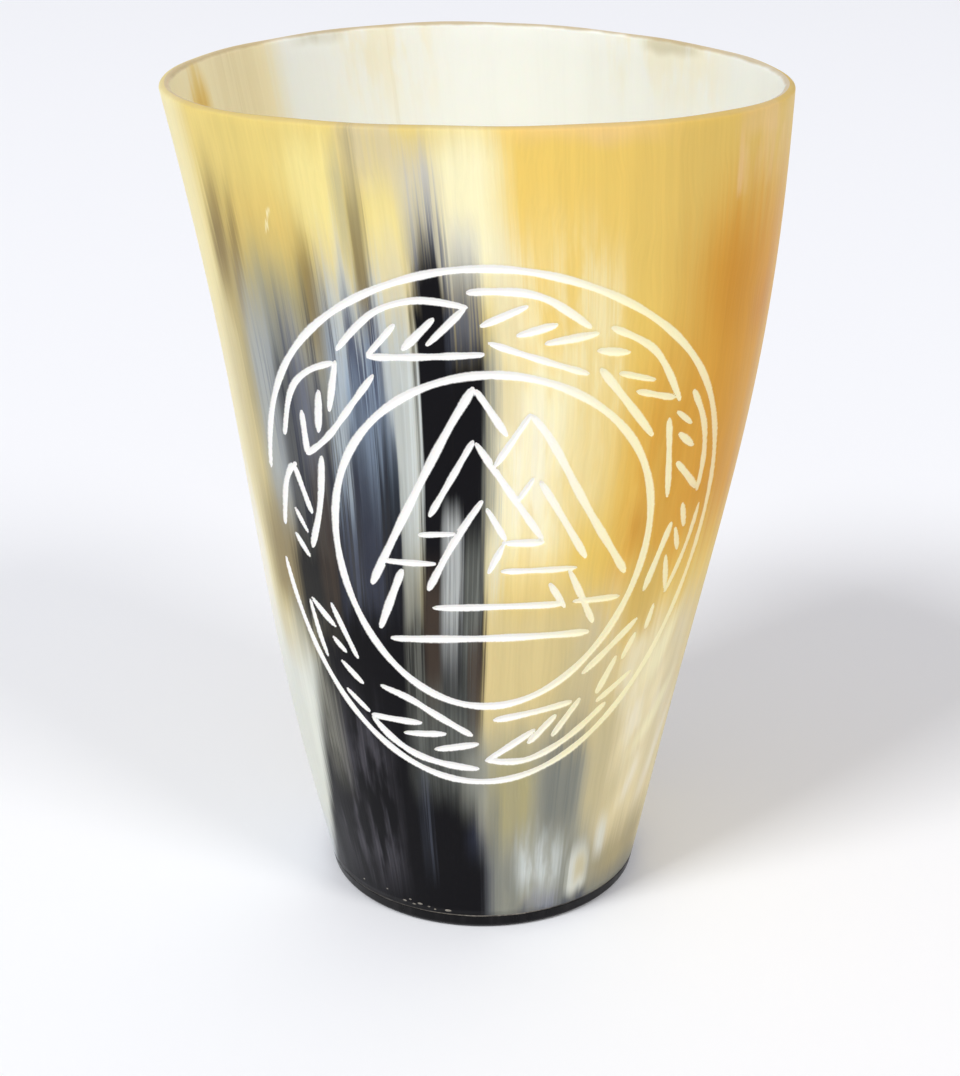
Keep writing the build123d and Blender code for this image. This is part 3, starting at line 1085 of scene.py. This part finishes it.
def horn_tone(tree, fields, ground, streaks, grain=1.0):
    """The colour of streaky horn, shaded along its grain."""
    tone = lay_streaks(tree, colour(*ground), streaks, {key: fields[key] for key in STREAK_FIELDS})
    for field, darker, lighter in GRAIN_SHADES:
        shade = rise(tree, fields[field], *SHADE_SPAN, 1 - darker * grain, 1 + lighter * grain)
        tone = scaled(tree, tone, shade)
    return tone


def sector_streaks(sector):
    """The streaks of the outside that reach into a sector."""
    edges = (-180,) + SECTOR_EDGES + (180,)
    start, end = edges[sector] - SECTOR_MARGIN, edges[sector + 1] + SECTOR_MARGIN

    def meets(streak):
        reach = streak.side + abs(streak.lean) * (streak.high - streak.low) / 2
        return streak.left - reach < end and streak.right + reach > start

    return [streak for streak in OUTSIDE_STREAKS if meets(streak)]


def with_lip(tree, fields, tone, strength):
    """The tone with a tan edge along the top of the lip, and where that edge is."""
    uneven = calc(tree, "MULTIPLY_ADD", centred(tree, fields["broad"]), LIP_SWING, fields["level"])
    lip = rise(tree, uneven, *(WALL_HIGH - depth for depth in LIP_FADE))
    return mix(tree, calc(tree, "MULTIPLY", lip, strength), tone, colour(*LIP_TAN)), lip


def finish_horn(tree, shader, fields, tone, rough):
    """The shader of horn with its colour and roughness, its depth and its fine relief."""
    relief = add(tree, "ShaderNodeBump", {"Height": fields["hairs"], **RELIEF}).outputs[0]
    fill(tree, shader, {"Base Color": tone, "Roughness": rough, "Normal": relief, **HORN_DEPTH})


def make_outside_material(sector):
    """The polished outside, with chalky white in the carving and a tan edge on the lip."""
    material, tree, shader = new_material(f"polished_horn_{sector}")
    fields = horn_fields(tree)
    tone = horn_tone(tree, fields, GOLD, sector_streaks(sector))
    carving = add(tree, "ShaderNodeAttribute", attribute_name="carving").outputs["Fac"]
    crumbs = centred(tree, noise(tree, fields["where"], *CRUMB_GRAIN))
    carved = rise(tree, calc(tree, "MULTIPLY_ADD", crumbs, CRUMB_REACH, carving), *CHALK_EDGE)
    warmth = rise(tree, fields["Angle"], *CHALK_WARMS)
    chalk = mix(tree, warmth, colour(*CHALK), colour(*WARM_CHALK))
    rubbed = rise(tree, fields["Angle"], *CHALK_RUBBED)
    tone = mix(tree, carved, tone, mix(tree, rubbed, chalk, tone))
    tone, lip = with_lip(tree, fields, tone, OUTSIDE_LIP)
    rough = rise(tree, fields["broad"], *ROUGH_SPAN, *OUTSIDE_ROUGH)
    matt = calc(tree, "MAXIMUM", carved, lip)
    finish_horn(tree, shader, fields, tone, calc(tree, "MULTIPLY_ADD", matt, MATT_ROUGH, rough))
    return material


def make_inside_material():
    """The scraped inside, paler than the outside, with painted glow of light through the wall in its
    near-white ground.
    """
    material, tree, shader = new_material("horn_inside")
    fields = horn_fields(tree)
    tone = horn_tone(tree, fields, RAW_WITH_GLOW, INSIDE_STREAKS, INSIDE_GRAIN)
    tone, _ = with_lip(tree, fields, tone, INSIDE_LIP)
    finish_horn(tree, shader, fields, tone, rise(tree, fields["broad"], *ROUGH_SPAN, *INSIDE_ROUGH))
    return material


def make_black_horn():
    """Polished black horn with faint grey fibres."""
    material, tree, shader = new_material("black_horn")
    where = add(tree, "ShaderNodeTexCoord").outputs["Object"]
    fibres = noise(tree, where, *BLACK_GRAIN)
    tone = mix(tree, rise(tree, fibres, *BLACK_TONE_SPAN), *(colour(*tone) for tone in BLACK_TONES))
    rough = rise(tree, fibres, *BLACK_ROUGH)
    relief = add(tree, "ShaderNodeBump", {"Height": fibres, **RELIEF}).outputs[0]
    fill(tree, shader, {"Base Color": tone, "Roughness": rough, "Normal": relief})
    fill(tree, shader, {"IOR": HORN_IOR, "Specular IOR Level": BLACK_SHINE})
    return material


def make_glue_material():
    """Hardened glue: pale and cloudy in front of the middle, and dark where grime has settled in it and where
    contact shade near the floor is painted in.
    """
    material, tree, shader = new_material("glue")
    fields = horn_fields(tree)
    cloud = noise(tree, fields["where"], *GLUE_GRAIN)
    bare = calc(tree, "ABSOLUTE", calc(tree, "SUBTRACT", fields["Angle"], BARE_ANGLE))
    low = rise(tree, fields["level"], *GRIME_AND_SHADE_HEIGHTS)
    # Darker away from the front and low down: grime together with painted contact shade
    grime_and_shade = calc(tree, "MULTIPLY", rise(tree, bare, *GRIME_AND_SHADE_SPAN), low)
    tone = mix(tree, rise(tree, cloud, *SHADE_SPAN), *(colour(*tone) for tone in GLUE_TONES))
    tone = mix(tree, calc(tree, "MULTIPLY", grime_and_shade, GRIME_AND_SHADE_STRENGTH), tone, colour(*GRIME_AND_SHADE_TONE))
    fill(tree, shader, {"Base Color": tone, "Roughness": rise(tree, cloud, *GLUE_ROUGH)})
    return material


def dress(node, material):
    """A material for a solid that shows as it is."""
    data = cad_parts[node].data
    data.materials.clear()
    data.materials.append(material)


horn = make_horn()
for number in range(SECTORS):
    horn.data.materials.append(make_outside_material(number))
horn.data.materials.append(make_inside_material())
make_glue().data.materials.append(make_glue_material())
dress("base_disc", make_black_horn())


# The stage
FLOOR_REACH = 14.0
FLOOR_GAP = 0.05
FLOOR_COLOUR = (249, 250, 252)
FLOOR_ROUGH = 0.9
FLOOR_SHINE = 0.2
SKY_COLOUR = (238, 238, 245)
SKY_STRENGTH = 0.55

# Two square lamps: the place in metres, the tint and the watts of each
LAMP_SIZE = 2.1
LAMPS = {
    "left_lamp": ((-3.6, -3.4, 5.4), (0.97, 0.985, 1.0), 280.0),
    "right_lamp": ((3.9, -3.8, 5.0), (1.0, 0.975, 0.94), 139.0),
}


def make_floor():
    """A plain pale floor, wide enough to fill the view."""
    sides = ((-1, -1), (1, -1), (1, 1), (-1, 1))
    corners = [(x * FLOOR_REACH, y * FLOOR_REACH, -FLOOR_GAP * MM) for x, y in sides]
    mesh = bpy.data.meshes.new("floor")
    mesh.from_pydata(corners, [], [(0, 1, 2, 3)])
    floor = add_object("floor", mesh)
    material, tree, shader = new_material("floor")
    fill(tree, shader, {"Base Color": colour(*FLOOR_COLOUR), "Roughness": FLOOR_ROUGH})
    fill(tree, shader, {"Specular IOR Level": FLOOR_SHINE})
    mesh.materials.append(material)


def make_sky():
    """An even light from all around, which shows as a pale background."""
    world = bpy.data.worlds.new("studio")
    world.use_nodes = True
    tree = world.node_tree
    rays = add(tree, "ShaderNodeLightPath").outputs
    seen = calc(tree, "MAXIMUM", rays["Is Camera Ray"], rays["Is Glossy Ray"])
    seen = calc(tree, "MAXIMUM", seen, rays["Is Transmission Ray"])
    strength = rise(tree, seen, 0.0, 1.0, SKY_STRENGTH, 1.0)
    fill(tree, tree.nodes["Background"], {"Color": colour(*SKY_COLOUR), "Strength": strength})
    bpy.context.scene.world = world


def add_lamp(name, location, tint, watts):
    """A square soft lamp that points at the cup."""
    data = bpy.data.lights.new(name, "AREA")
    data.size = LAMP_SIZE
    data.energy = watts
    data.color = tint
    lamp = add_object(name, data)
    lamp.location = location
    lamp.rotation_euler = (-Vector(location)).to_track_quat("-Z", "Y").to_euler()


# The camera, as fitted to the outline of the cup in the photograph
CAMERA_PLACE = Vector((-0.43, -280.0, 170.0))
CAMERA_PITCH = 0.399
FOCAL_PIXELS = 2075.0
FRAME_HEIGHT = 1076


def make_camera():
    """The camera at the photograph's viewing angle."""
    data = bpy.data.cameras.new("camera")
    data.lens = FOCAL_PIXELS / FRAME_HEIGHT * data.sensor_width
    camera = add_object("camera", data)
    camera.location = CAMERA_PLACE * MM
    camera.rotation_euler = (math.pi / 2 - CAMERA_PITCH, 0, 0)
    bpy.context.scene.camera = camera


make_floor()
make_sky()
for lamp_name, lamp_values in LAMPS.items():
    add_lamp(lamp_name, *lamp_values)
make_camera()
bpy.context.scene.view_settings.view_transform = "Standard"
